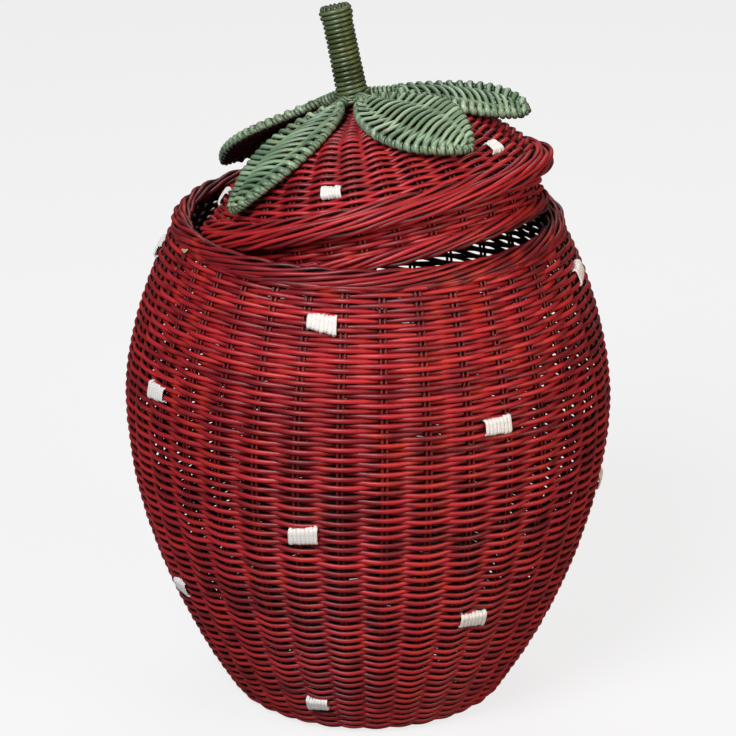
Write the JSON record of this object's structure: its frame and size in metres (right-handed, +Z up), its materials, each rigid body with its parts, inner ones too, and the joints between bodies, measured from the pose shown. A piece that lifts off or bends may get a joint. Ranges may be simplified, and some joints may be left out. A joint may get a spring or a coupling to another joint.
{
  "type": "lidded storage basket",
  "caption": "Strawberry-shaped storage basket woven in red cane, with a domed lift-off lid, a wound stem handle, woven green leaves and thread seeds.",
  "frame": {"origin": "on the floor under the middle of the basket's flat base", "axes": "+Z up through the basket; -Y towards the front from which the reference picture looks; +X to that view's right"},
  "size_m": [0.3494, 0.3495, 0.5094],
  "materials": {
    "red_cane": "dyed rattan core, semi-gloss lacquer",
    "green_cane": "dyed rattan core, satin lacquer",
    "stem_cane": "dyed rattan core, satin lacquer",
    "stem_rod": "plain rattan pole",
    "white_thread": "soft cotton thread"
  },
  "bodies": {
    "basket": {"base_disc": "red_cane", "wall_shell": "red_cane", "upper_wale": "red_cane", "rim_border": "red_cane", "basket_seed_01": "white_thread", "basket_seed_02": "white_thread", "basket_seed_03": "white_thread", "basket_seed_04": "white_thread", "basket_seed_05": "white_thread", "basket_seed_06": "white_thread", "basket_seed_07": "white_thread", "basket_seed_08": "white_thread", "basket_seed_09": "white_thread", "basket_seed_10": "white_thread", "basket_seed_11": "white_thread", "basket_seed_12": "white_thread", "basket_seed_13": "white_thread", "basket_seed_14": "white_thread", "basket_seed_15": "white_thread", "basket_seed_16": "white_thread", "basket_seed_17": "white_thread", "basket_seed_18": "white_thread", "basket_seed_19": "white_thread"},
    "lid": {"lid_dome": "red_cane", "lid_edge_rope": "red_cane", "lid_neck": "red_cane", "lid_flange_border": "red_cane", "lid_seed_1": "white_thread", "lid_seed_2": "white_thread", "lid_seed_3": "white_thread", "lid_seed_4": "white_thread", "lid_seed_5": "white_thread", "leaf_front_left_stalk": "green_cane", "leaf_front_left_hoop": "green_cane", "leaf_front_left_blade": "green_cane", "leaf_front_right_stalk": "green_cane", "leaf_front_right_hoop": "green_cane", "leaf_front_right_blade": "green_cane", "leaf_right_stalk": "green_cane", "leaf_right_hoop": "green_cane", "leaf_right_blade": "green_cane", "leaf_back_stalk": "green_cane", "leaf_back_hoop": "green_cane", "leaf_back_blade": "green_cane", "leaf_left_stalk": "green_cane", "leaf_left_hoop": "green_cane", "leaf_left_blade": "green_cane", "stem_core": "stem_rod", "stem_winding": "stem_cane", "stem_collar": "stem_cane", "stem_cap": "stem_cane"}
  },
  "joints": [
    {"name": "lid_lift", "type": "slide", "parent": "basket", "child": "lid", "axis": [0, 0, 1], "range_m": [0, 0.25]}
  ]
}
